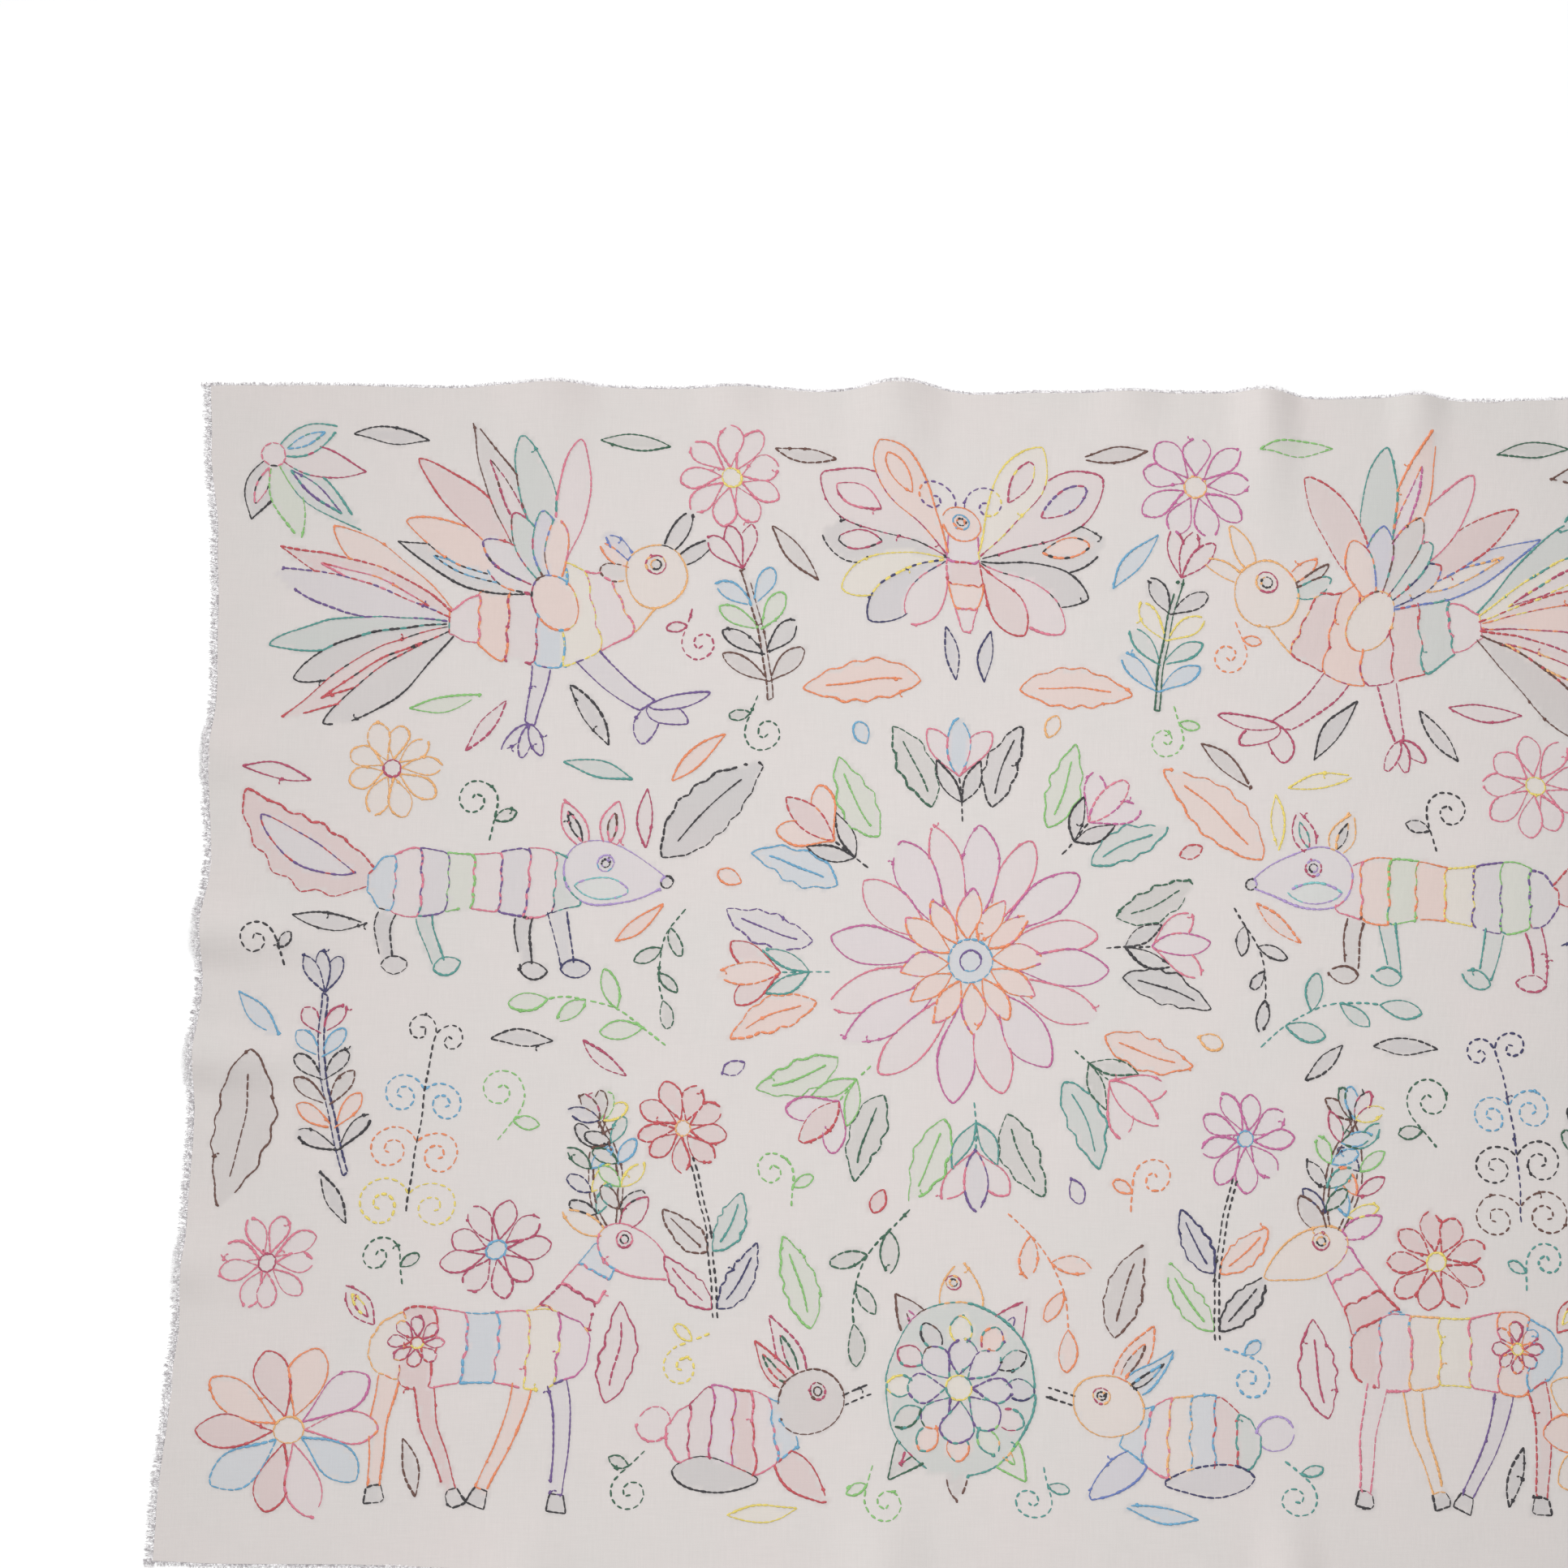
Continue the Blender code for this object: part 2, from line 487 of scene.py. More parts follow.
def sprig(length=96, pairs=4, leaflet=36, stem_colour=None, bend=16):
    """A narrow stem with pairs of round-ended leaflets, and three more at its tip."""
    colours = several(LEAFY, pairs + 1)
    marks = []
    for pair in range(pairs):
        foot = length * (0.14 + 0.76 * pair / pairs)
        for side in (1, -1):
            one = petal(leaflet * (1 - 0.05 * pair), leaflet * 0.34)
            marks.append(edged(turned(one, side * (52 - 3 * pair)) + foot, colours[pair]))
    for side in (-1, 0, 1):
        last = turned(petal(leaflet * 0.95, leaflet * 0.34), 27 * side)
        marks.append(edged(last + length, colours[pairs]))
    band = np.concatenate([np.linspace(0, length, 14) + 1.9j, np.linspace(length, 0, 14) - 1.9j])
    marks.append(edged(band, stem_colour or pick(("black", "brown", "navy", "green"))))
    return bent_marks(marks, 0, length, bend)


def scroll_vine(length=110, pairs=3, radius=17):
    """A running stem with scrolls to either side."""
    colours = several(LEAFY + ("magenta", "brown"), pairs + 1)
    marks = [running(np.linspace(0, length, 26) + 0j, colours[0])]
    for pair in range(pairs):
        foot = length * (0.10 + 0.86 * pair / pairs)
        for side in (1, -1):
            one = turned(scroll(radius * (1 - 0.10 * pair), 1.7), 24)
            marks.append(running((one if side > 0 else np.conj(one)) + foot, colours[1 + pair]))
    for side in (1, -1):
        one = turned(scroll(radius * 0.62, 1.4), 6)
        marks.append(running((one if side > 0 else np.conj(one)) + length, colours[0]))
    return bent_marks(marks, 0, length, -14)


def curl(radius=15, stem=24):
    """One scroll on a short stem, with a seed on the outside of its bend."""
    colour = pick(LEAFY)
    line = np.concatenate([np.linspace(-stem, 0, 6)[:-1] + 0j, scroll(radius, 1.5)])
    return [running(line, colour), edged(turned(petal(16, 8, belly=1.1), -58) - stem * 0.4, colour)]


def vine(reach=84, bend=120):
    """A bowed stem in running stitch with leaves on alternate sides and one at its end."""
    colour = pick(LEAFY)
    stem = bent(np.linspace(0, reach, 22) + 0j, reach * 0.25, reach * 0.75, bend)
    marks = [running(stem, colour)]
    for place, side, length in ((5, 1, 24), (10, -1, 23), (15, 1, 20), (21, 0, 24)):
        heading = (stem[place] - stem[place - 1]) / abs(stem[place] - stem[place - 1])
        leaflet = petal(length, length * 0.42, belly=1.1)
        marks.append(edged(leaflet * turned(heading, 48 * side) + stem[place], colour))
    return marks


def leaf_fan(count=5, length=58, width=17, spread=140):
    """Pointed leaves from one foot, every second one with a slim leaf inside."""
    marks = []
    colours, inners = several(LEAFY, count), several(BRIGHT, count)
    for k in range(count):
        reach = length * (1 - 0.16 * abs(k - (count - 1) / 2))
        one = blade(reach, width, colours[k], inners[k] if k % 2 == 0 else None)
        marks += moved(one, turn=spread * (k / (count - 1) - 0.5))
    return marks + [edged(ring(6.5), pick(BRIGHT))]


def flowering_branch(length=120):
    """A stem with wavy leaves in pairs and a daisy at its end."""
    stem_colour = pick(("black", "brown", "navy", "green"))
    marks = [running(np.linspace(0, length, 24) + 1j * offset, stem_colour) for offset in (-1.6, 1.6)]
    for foot, reach in ((0.06, 54), (0.40, 48)):
        for side in (1, -1):
            marks += moved(leaf(reach, 19, bend=-20 * side), length * foot, 2 * side, 46 * side)
    marks += moved(daisy(9, 34, 15, 6), length + 22)
    return bent_marks(marks, 0, length, 14)


def rosette():
    """The middle of the cloth: a double flower in a wreath of leaves and tulips."""
    marks = []
    for k, colour in enumerate(several(("green", "sky", "violet", "lime", "black", "teal", "orange"), 16)):
        turn = 22.5 * k + 11.25
        one = bent_marks(leaf(54, 20, colour, bend=0, waves=4), 0, 54, -24 if k % 2 else 24)
        marks += moved(one, *point_on(90, turn), turn)
    for k in range(8):
        marks += moved(tulip(30), *point_on(80, 45 * k), 45 * k, 0.92)
    for k in range(8):
        turn = 45 * k + 22.5
        marks += placed(petal(15, 9, belly=1.1), pick(BRIGHT), *point_on(140, turn), turn)
    return marks + double_daisy()


def point_on(radius, degrees):
    return radius * math.cos(math.radians(degrees)), radius * math.sin(math.radians(degrees))


# Animals


def banded(length, widths, colours, wave=1.6):
    """A body along +X in bands of colour, parted by scalloped lines.

    widths has (share of the length, half width) rows.
    """
    places = np.array([row[0] for row in widths])
    halves = np.array([row[1] for row in widths])
    marks = []
    for band, colour in enumerate(colours):
        edge = np.linspace(band, band + 1, 9) / len(colours)
        half = eased_table(places, halves, edge)
        across = np.linspace(1, -1, 19)
        scallops = wave * np.abs(np.sin(1.5 * math.pi * (across + 1)))
        last = edge[-1] * length + scallops * (band < len(colours) - 1) + 1j * half[-1] * across
        first = edge[0] * length + scallops * (band > 0) + 1j * half[0] * across
        upper, lower = edge * length + 1j * half, (edge * length - 1j * half)[::-1]
        marks.append(edged(np.concatenate([upper, last[1:-1], lower, first[::-1][1:-1]]), colour))
    return marks


def fan(count, first, last, length, width, pointed=()):
    """Feathers from one foot, the middle ones the longest; the pointed ones hold a slim feather."""
    marks = []
    colours, inners = several(FEATHERY, count), several(BRIGHT, count)
    for k in range(count):
        share = k / max(count - 1, 1)
        reach = length * (0.80 + 0.20 * math.sin(math.pi * (0.15 + 0.7 * share))) * draw.normal(1, 0.04)
        if k in pointed:
            one = blade(reach * 1.1, width * 1.05, colours[k], inners[k])
        else:
            one = [edged(drawn_petal(reach, width), colours[k])]
        marks += moved(one, turn=first + (last - first) * share + draw.normal(0, 1.2))
    return marks


def eye(radius=3.0):
    rim = ringed(ring(radius * 1.9, steps=14), pick(("crimson", "sky", "violet")))
    return [rim, edged(ring(radius, steps=10), "black")]


def clawed_leg(length, colour):
    toes = [edged(turned(petal(18, 6.5, belly=0.9), angle) + length, colour) for angle in (-36, 0, 36)]
    return [edged(shank(length, 5.2), colour), *toes]


def shank(length, foot_width):
    share = np.linspace(0, 1, 12)
    half = 5.4 + (foot_width / 2 - 5.4) * share
    return np.concatenate([share * length + 1j * half, (share * length - 1j * half)[::-1]])


def hoofed_leg(length, colour, knee=14):
    hoof = length + np.array([-1 + 3.4j, 8 + 5j, 8 - 5j, -1 - 3.4j])
    marks = [edged(shank(length, 5.6), colour), edged(hoof, "black")]
    return bent_marks(marks, length * 0.35, length * 0.2, knee)


def pawed_leg(length, colour, knee=8):
    paw = petal(17, 10, belly=0.9) * 1j + length - 4j
    marks = [edged(shank(length, 7.0), colour), edged(paw, colour)]
    return bent_marks(marks, length * 0.3, length * 0.3, knee)


def bird():
    """A side view that faces +X, wings up."""
    leg_colour = pick(("navy", "crimson", "violet", "black"))
    marks = []
    for x, turn in ((50, -98), (68, -66)):
        marks += moved(clawed_leg(38, leg_colour), x, -20, turn)
    marks += moved(fan(7, 146, 222, 98, 18, pointed=(1, 5)), 8, 0)
    widths = ((0, 6), (0.1, 12), (0.3, 25), (0.55, 28), (0.8, 19), (1, 12))
    marks += banded(104, widths, several(BRIGHT + ("teal", "yellow"), 7))
    marks += moved(fan(3, 96, 148, 32, 10), 110, 6)
    beak = pick(("amber", "orange", "black"))
    marks += placed(petal(27, 9, belly=0.9), beak, 124, 4, 15)
    marks += placed(petal(25, 8, belly=0.9), beak, 124, -3, -16)
    marks += [edged(ring(16.5) + 113, pick(("amber", "aqua", "lilac", "rose")))]
    marks += moved(eye(2.8), 117, 4)
    marks = bent_marks(marks, 60, 50, 46)
    marks += moved(fan(6, 158, 76, 92, 18, pointed=(0, 3)), 52, 10)
    marks += moved(fan(5, 148, 84, 50, 14), 54, 9)
    marks += placed(ring(11, 1.5), pick(("orange", "amber", "yellow")), 55, 6, -60)
    return moved(marks, -34, -12)


def deer():
    """A side view that faces +X, with leafy antlers."""
    colours = several(BRIGHT + ("brown", "teal"), 7)
    marks = []
    hips = ((14, -8, -102), (28, -12, -80), (80, -10, -100), (94, -8, -78))
    for (x, y, turn), colour in zip(hips, colours):
        marks += moved(hoofed_leg(66, colour, 14 if x < 50 else -10), x, y, turn)
    marks += moved(blade(26, 12, colours[4], "yellow"), 2, 12, 128)
    marks += moved(banded(56, ((0, 17), (0.5, 11), (1, 8.5)), several(BRIGHT, 4)), 90, 4, 60)
    widths = ((0, 5), (0.06, 14), (0.2, 22), (0.5, 18), (0.8, 21), (0.95, 15), (1, 8))
    marks += banded(110, widths, several(BRIGHT + ("teal", "yellow"), 7))
    marks += moved(daisy(8, 14, 7, 3.2, ["crimson"], "yellow"), 23, 3)
    crown = 90 + 4j + 60 * np.exp(1j * math.radians(60))
    for first, bend in ((122, -50), (78, 44)):
        antler = turned(bent(np.linspace(0, 70, 24) + 0j, 8, 56, bend), first) + crown
        marks += [lined(antler + offset, "brown") for offset in (-1.3, 1.3)]
        for place in (6, 10, 14, 18, 23):
            heading = (antler[place] - antler[place - 1]) / abs(antler[place] - antler[place - 1])
            for angle in (-46, 46) if place < 23 else (-40, 0, 40):
                leaflet = petal(17, 7.5, belly=1.1) * turned(heading, angle)
                marks.append(edged(leaflet + antler[place], pick(LEAFY)))
    marks += placed(petal(26, 11, belly=1.1), colours[5], crown.real - 4, crown.imag + 4, 152)
    marks += placed(petal(24, 11, belly=1.1), colours[6], crown.real + 3, crown.imag + 6, 52)
    head = bent(petal(48, 24, belly=0.72), 0, 48, -8)
    marks += placed(head, pick(("amber", "brown", "rose")), crown.real - 8, crown.imag + 5, -26)
    marks += moved(eye(2.4), crown.real + 6, crown.imag + 2)
    return moved(marks, -58, -26)


def fox():
    """A side view that faces +X, with a bushy tail and a pointed snout."""
    marks = []
    leg_colours = ("black", "brown", "navy", "crimson", "teal")
    for x, turn, knee in ((18, -112, 24), (34, -84, 10), (96, -100, 8), (110, -74, -12)):
        marks += moved(pawed_leg(40, pick(leg_colours), knee), x, -8, turn)
    tail = [edged(wavy_leaf(98, 38, waves=6, depth=2.2), pick(BRIGHT))]
    tail.append(edged(petal(66, 17, belly=1.1) + 14, pick(BRIGHT)))
    marks += moved(bent_marks(tail, 0, 98, -64), 6, 4, 176)
    widths = ((0, 5), (0.08, 15), (0.22, 20), (0.5, 15), (0.8, 19), (1, 12))
    marks += banded(124, widths, several(BRIGHT + ("teal", "yellow", "lime"), 8))
    for turn, foot in ((112, 126), (74, 138)):
        marks += moved(blade(30, 14, pick(BRIGHT), pick(LEAFY)), foot, 18, turn)
    head = pick(("rose", "lilac", "amber", "orange"))
    marks += placed(petal(60, 36, belly=0.62, fullness=0.8), head, 114, 10, -9)
    marks += placed(petal(32, 12, belly=1.0), pick(("yellow", "aqua", "red")), 120, -1, -4)
    marks += [edged(ring(3.4, steps=10) + 172 + 1j, "black")]
    return moved(marks + moved(eye(2.6), 137, 12), -66, 6)


def rabbit():
    """A side view that faces +X, ears up."""
    marks = [edged(ring(9.5) - 7 + 6j, pick(("lilac", "rose", "sky")))]
    marks += placed(petal(40, 14, belly=0.9), pick(FEATHERY), 58, -8, -64)
    widths = ((0, 5), (0.1, 14), (0.35, 25), (0.65, 22), (1, 12))
    marks += banded(70, widths, several(BRIGHT + ("teal", "lime"), 6))
    marks += placed(petal(46, 17, belly=0.8), pick(FEATHERY), 4, -18, -8)
    crown = 82 + 8j
    for angle in (100, 130):
        marks += moved(blade(48, 14, pick(BRIGHT), pick(LEAFY)), crown.real, crown.imag + 4, angle)
    marks += [edged(ring(16.5, 1.15) + crown, pick(("amber", "aqua", "rose", "brown")))]
    marks += moved(eye(2.4), 87, 12)
    marks += [running(np.linspace(99, 115, 5) + 1j * (4 + lift), "black") for lift in (-3, 2)]
    return moved(bent_marks(marks, 40, 30, 18), -38, -6)


def butterfly():
    """Seen from above, with its head at +Y."""
    marks = []
    for side in (1, -1):
        wings = ((8, 62, 24), (34, 74, 28), (60, 66, 22), (-20, 56, 20), (-42, 54, 20), (-62, 44, 17))
        for angle, reach, width in wings:
            turn = angle if side > 0 else 180 - angle
            marks.append(edged(turned(petal(reach, width, belly=1.7), turn) + 6 * side, pick(FEATHERY)))
            if width > 20:
                spot = petal(reach * 0.36, width * 0.40, belly=1.1) + reach * 0.52
                marks.append(edged(turned(spot, turn) + 6 * side, pick(FEATHERY)))
        feeler = turned(scroll(11, 1.35), 74)
        marks.append(running((feeler if side < 0 else -np.conj(feeler)) + 26j + 2 * side, "violet"))
    marks += moved(banded(50, ((0, 7), (0.5, 8), (1, 2.5)), several(BRIGHT, 4)), 0, 12, -90)
    marks += [edged(ring(9) + 18j, pick(("orange", "rose", "black")))]
    return marks + moved(eye(2.1), 0, 19)


def turtle():
    """Seen from above, with its head at +X."""
    marks = []
    for angle in (36, 144, 216, 324):
        foot = 14 * np.exp(1j * math.radians(angle))
        marks += moved(blade(44, 19, pick(LEAFY), pick(BRIGHT)), foot.real, foot.imag, angle)
    marks.append(edged(petal(24, 10, belly=1.0) * -1 - 32, "brown"))
    marks.append(edged(petal(34, 22, belly=0.8) + 32, pick(("amber", "lime"))))
    marks.append(edged(ring(38, 1.18, 34), "teal"))
    plates = 12
    for k in range(plates):
        marks.append(edged(turned(petal(16, 11, belly=1.1) + 22, 360 * k / plates), pick(LEAFY)))
    marks += daisy(8, 27, 15, 6.5, [pick(("crimson", "violet", "blue"))], "yellow")
    return marks + moved(eye(2.1), 55, 4)


MOTIFS = {
    "daisy": daisy,
    "mixed_daisy": mixed_daisy,
    "small_daisy": lambda: daisy(9, 29, 13, 5.5),
    "leaf": leaf,
    "wide_leaf": lambda: leaf(88, 32, bend=-16, waves=6),
    "slim_leaf": slim_leaf,
    "tulip": tulip,
    "sprig": sprig,
    "long_sprig": lambda: sprig(128, 6, 32, bend=-18),
    "scroll_vine": scroll_vine,
    "curl": curl,
    "vine": vine,
    "straighter_vine": lambda: vine(76, 50),
    "leaf_fan": leaf_fan,
    "bud": lambda: tulip(20),
    "flowering_branch": flowering_branch,
    "rosette": rosette,
    "bird": bird,
    "deer": deer,
    "fox": fox,
    "rabbit": rabbit,
    "butterfly": butterfly,
    "turtle": turtle,
}

# Where each motif stands, in mm from the middle of the cloth. A pair has its mirror image at -x.
Spot = namedtuple("Spot", "motif x y turn size pair")
LAYOUT = (
    Spot("rosette", 0, 0, 0, 1.00, False),
    Spot("butterfly", 0, 244, 0, 1.22, False),
    Spot("turtle", 0, -246, 90, 1.12, False),
    Spot("bird", -268, 218, 0, 1.20, True),
    Spot("fox", -281, 36, 0, 1.06, True),
    Spot("scroll_vine", -322, -148, 90, 0.94, True),
    Spot("deer", -272, -196, 0, 1.10, True),
    Spot("leaf_fan", -404, 306, -45, 1.06, True),
    Spot("small_daisy", -136, 290, 15, 1.15, True),
    Spot("sprig", -116, 152, 92, 0.84, True),
    Spot("rabbit", -126, -266, 0, 1.06, True),
    Spot("wide_leaf", -414, -58, -92, 1.00, True),
    Spot("mixed_daisy", -374, -270, 0, 1.02, True),
    Spot("flowering_branch", -142, -212, 92, 0.80, True),
)

# What fills the gaps that are left, from wide to small, at sizes between least and most
Filler = namedtuple("Filler", "motifs least most tries")
FILLERS = (
    Filler(("daisy", "long_sprig", "scroll_vine"), 0.78, 1.00, 2500),
    Filler(
        ("wide_leaf", "leaf_fan", "small_daisy", "scroll_vine", "vine", "straighter_vine"), 0.85, 1.10, 4000
    ),
    Filler(("leaf", "tulip", "sprig", "curl", "vine", "straighter_vine", "leaf"), 0.76, 1.05, 6000),
    Filler(("slim_leaf", "bud", "curl", "slim_leaf"), 0.74, 1.05, 6000),
)

# How far a hand sets a motif off its spot: mm, degrees, and a share of its size
SPOT_DRIFT = 1.2
SPOT_TURN = 1.6
SPOT_GROWTH = 0.012

SAFE_EDGE = 24  # mm from the cut edge that the needle keeps off
CLEARANCE = 4.4  # mm between one motif and the next
PLAN_CELL = 2.5  # mm, the side of a cell of the plan


class Plan:
    """Which ground has a motif on it or near it, in small square cells."""

    def __init__(self):
        columns, rows = (int(side / MM / PLAN_CELL) + 1 for side in (LONG_SIDE, SHORT_SIDE))
        self.taken = np.zeros((columns, rows), bool)
        steps = np.arange(-CLEARANCE, CLEARANCE + PLAN_CELL, PLAN_CELL)
        around = (steps[:, None] + 1j * steps).ravel()
        self.around = around[np.abs(around) <= CLEARANCE]

    def cells(self, places):
        column = ((places.real + LONG_SIDE / MM / 2) / PLAN_CELL).astype(int)
        row = ((places.imag + SHORT_SIDE / MM / 2) / PLAN_CELL).astype(int)
        return column.clip(0, self.taken.shape[0] - 1), row.clip(0, self.taken.shape[1] - 1)

    def take(self, marks):
        self.taken[self.cells((line_places(marks)[:, None] + self.around).ravel())] = True

    def free(self, places):
        """Whether places in the left half are free, and their mirror images in the right half too."""
        if places.real.min() < SAFE_EDGE - LONG_SIDE / MM / 2 or places.real.max() > -CLEARANCE / 2:
            return False
        if np.abs(places.imag).max() > SHORT_SIDE / MM / 2 - SAFE_EDGE:
            return False
        return not (self.taken[self.cells(places)].any() or self.taken[self.cells(-np.conj(places))].any())


def line_places(marks):
    return np.concatenate([evenly(mark.points, mark.closed, PLAN_CELL, 0) for mark in marks])


def whole_drawing():
    """Every mark of the embroidery, in the order in which it is stitched."""
    marks = []
    for spot in LAYOUT:
        for mirror in (False, True)[: 1 + spot.pair]:
            one = moved(
                MOTIFS[spot.motif](),
                spot.x + draw.normal(0, SPOT_DRIFT),
                spot.y + draw.normal(0, SPOT_DRIFT),
                spot.turn + draw.normal(0, SPOT_TURN),
                spot.size * (1 + draw.normal(0, SPOT_GROWTH)),
            )
            marks += mirrored(one) if mirror else one
    plan = Plan()
    plan.take(marks)
    for filler in FILLERS:
        shapes = {name: line_places(centred(MOTIFS[name](), 1)) for name in filler.motifs}
        for _ in range(filler.tries):
            name = pick(filler.motifs)
            turn = draw.uniform(0, 360)
            size = draw.uniform(filler.least, filler.most)
            place = complex(draw.uniform(-LONG_SIDE, 0), draw.uniform(-SHORT_SIDE, SHORT_SIDE)) / MM / 2
            if not plan.free(turned(shapes[name], turn) * size + place):
                continue
            for mirror in (False, True):
                one = moved(centred(MOTIFS[name](), size), place.real, place.imag, turn)
                one = mirrored(one) if mirror else one
                plan.take(one)
                marks += one
    return [mark._replace(points=hand_drawn(mark.points)) for mark in marks]


def centred(marks, size):
    """Marks about the middle of their extent, enlarged by size."""
    points = np.concatenate([mark.points for mark in marks])
    middle = complex(points.real.min() + points.real.max(), points.imag.min() + points.imag.max()) / 2
    return moved(moved(marks, -middle.real, -middle.imag), size=size)


def hand_drawn(points):
    """The small waver of a freehand line and the slow drift of a drawing done by eye."""
    x, y = points.real, points.imag
    across = np.sin(x / 7.3 + np.sin(y / 11.0)) + np.sin(y / 5.1 + 1.3) + 0.8 * np.sin((x + y) / 17.0)
    along = np.sin(y / 6.7 + np.sin(x / 9.0)) + np.sin(x / 4.7 + 0.7) + 0.8 * np.sin((x - y) / 19.0)
    drift = np.sin(x / 71 + 1.9 * np.sin(y / 93 + 0.6)) + 1j * np.sin(y / 64 + 1.7 * np.sin(x / 88))
    return points + WOBBLE * (across + 1j * along) + DRIFT * drift


# Stitches


def inside(points, outline):
    """Which points lie inside a closed outline."""
    crossings = np.zeros(len(points), int)
    ends = np.roll(outline, -1)
    for a, b in zip(outline, ends):
        if a.imag == b.imag:
            continue
        spans = (a.imag > points.imag) != (b.imag > points.imag)
        where = a.real + (points.imag - a.imag) * (b.real - a.real) / (b.imag - a.imag)
        crossings += spans & (points.real < where)
    return crossings % 2 == 1


def in_box(points, outline):
    """Which points lie in the upright box around an outline."""
    across = (points.real > outline.real.min()) & (points.real < outline.real.max())
    return across & (points.imag > outline.imag.min()) & (points.imag < outline.imag.max())


def evenly(points, closed, pitch, unevenness=0.07):
    """Places about a pitch apart along a line, each off its place by a small share of the pitch."""
    line = np.append(points, points[0]) if closed else points
    along = np.concatenate([[0], np.cumsum(np.abs(np.diff(line)))])
    count = max(int(round(along[-1] / pitch)), 3)
    at = np.linspace(0, along[-1], count + 1)
    at[1:-1] += draw.normal(0, unevenness * pitch, count - 1)
    return np.interp(at, along, line.real) + 1j * np.interp(at, along, line.imag)


Stitches = namedtuple("Stitches", "starts ends widths colours orders")


def heaviness(mark, count):
    """How heavy each stitch is: one side of an outline is sewn firmly and the other faintly."""
    if not mark.closed:
        return np.full(count, draw.uniform(0.85, 1.15))
    sides = [draw.uniform(*FIRM_SIDE), draw.uniform(*FAINT_SIDE)]
    if draw.random() < 0.5:
        sides.reverse()
    share = 0.5 + 0.5 * np.tanh((np.linspace(0, 1, count) - 0.5) / 0.06)
    return sides[0] + (sides[1] - sides[0]) * share


def tip_gap(mark, count):
    """The first and the last stitch that an outline leaves out at its tip, or none."""
    if not (mark.closed and mark.filled and count > 11 and draw.random() < OPEN_TIPS):
        return 0, 0
    middle = count * (0.5 + draw.normal(0, 0.02))
    half = max(count * TIP_GAP / 2 * draw.uniform(0.4, 1.0), 0.5)
    return int(round(middle - half)), int(round(middle + half))


def knot(place, heading):
    """A heap of short back stitches, some with a hook of thread, as (start, end, width) rows."""
    rows = []
    for _ in range(KNOT_STITCHES):
        arm = draw.uniform(*KNOT_ARM) * heading * np.exp(1j * draw.normal(0, 0.5))
        middle = place + complex(*draw.normal(0, 0.28, 2))
        rows.append((middle - arm, middle + arm, THREAD_WIDTH * draw.uniform(1.0, 1.4)))
    if draw.random() < HOOKED:
        side = draw.choice((-1, 1))
        for turn in (0.9, 1.9):
            after = place + HOOK_STEP * heading * np.exp(1j * side * turn)
            rows.append((place, after, THREAD_WIDTH * 0.8))
            place = after
    return rows


def stitched(marks):
    """The stitches of every mark that no later filled shape covers."""
    starts, ends, widths, colours, orders = [], [], [], [], []
    names = list(THREADS)
    for order, mark in enumerate(marks):
        size = np.abs(mark.points - mark.points.mean()).max()
        loose = draw.random() < (DARK_LOOSE if mark.colour in DARK else BRIGHT_LOOSE)
        if mark.stitch == "running":
            pitch, share = RUNNING
        elif loose:
            pitch, share = LOOSE
        else:
            pitch, share = TIGHT
        holes = evenly(mark.points, mark.closed, min(pitch, max(size * 0.62, SHORTEST_STITCH)))
        steps = np.diff(holes)
        slack = (1 - draw.normal(share, LENGTH_SPREAD, len(steps)).clip(0.5, 1.4)) / 2
        sideways = steps * 1j / np.abs(steps) * draw.normal(0, SIDE_SPREAD, len(steps))
        swell = 0.16 * np.sin(np.arange(len(steps)) * draw.uniform(0.25, 0.6) + draw.uniform(0, 6))
        weight = (draw.normal(1, WEIGHT_SPREAD, len(steps)) + swell).clip(*WEIGHT_RANGE)
        weight = weight * heaviness(mark, len(steps))
        first, last = tip_gap(mark, len(steps))
        sewn = np.r_[0:first, last : len(steps)]
        starts.append((holes[:-1] + steps * slack + sideways)[sewn])
        ends.append((holes[1:] - steps * slack - sideways)[sewn])
        widths.append((THREAD_WIDTH * draw.normal(1, WIDTH_SPREAD) * weight)[sewn])
        chance = DARK_KNOTS if mark.colour in DARK else BRIGHT_KNOTS
        places = draw.integers(len(steps), size=draw.poisson(len(steps) * chance))
        if last > first:
            places = np.append(places, draw.choice((first - 1, last % len(steps))))
        for place in places:
            rows = knot(holes[place], steps[place] / abs(steps[place]))
            for found, values in zip((starts, ends, widths), zip(*rows)):
                found.append(np.array(values))
        added = sum(len(one) for one in starts) - sum(len(one) for one in orders)
        colours.append(np.full(added, names.index(mark.colour)))
        orders.append(np.full(added, order))
    made = Stitches(*(np.concatenate(one) for one in (starts, ends, widths, colours, orders)))
    middles = (made.starts + made.ends) / 2
    kept = np.ones(len(middles), bool)
    for order, mark in enumerate(marks):
        if mark.filled:
            found = np.flatnonzero(in_box(middles, mark.points))
            found = found[inside(middles[found], mark.points)]
            kept[found[made.orders[found] < order]] = False
            later = found[made.orders[found] > order]
            made.colours[later[draw.random(len(later)) < SHARED]] = names.index(mark.colour)
    return Stitches(*(one[kept] for one in made))


# Meshes


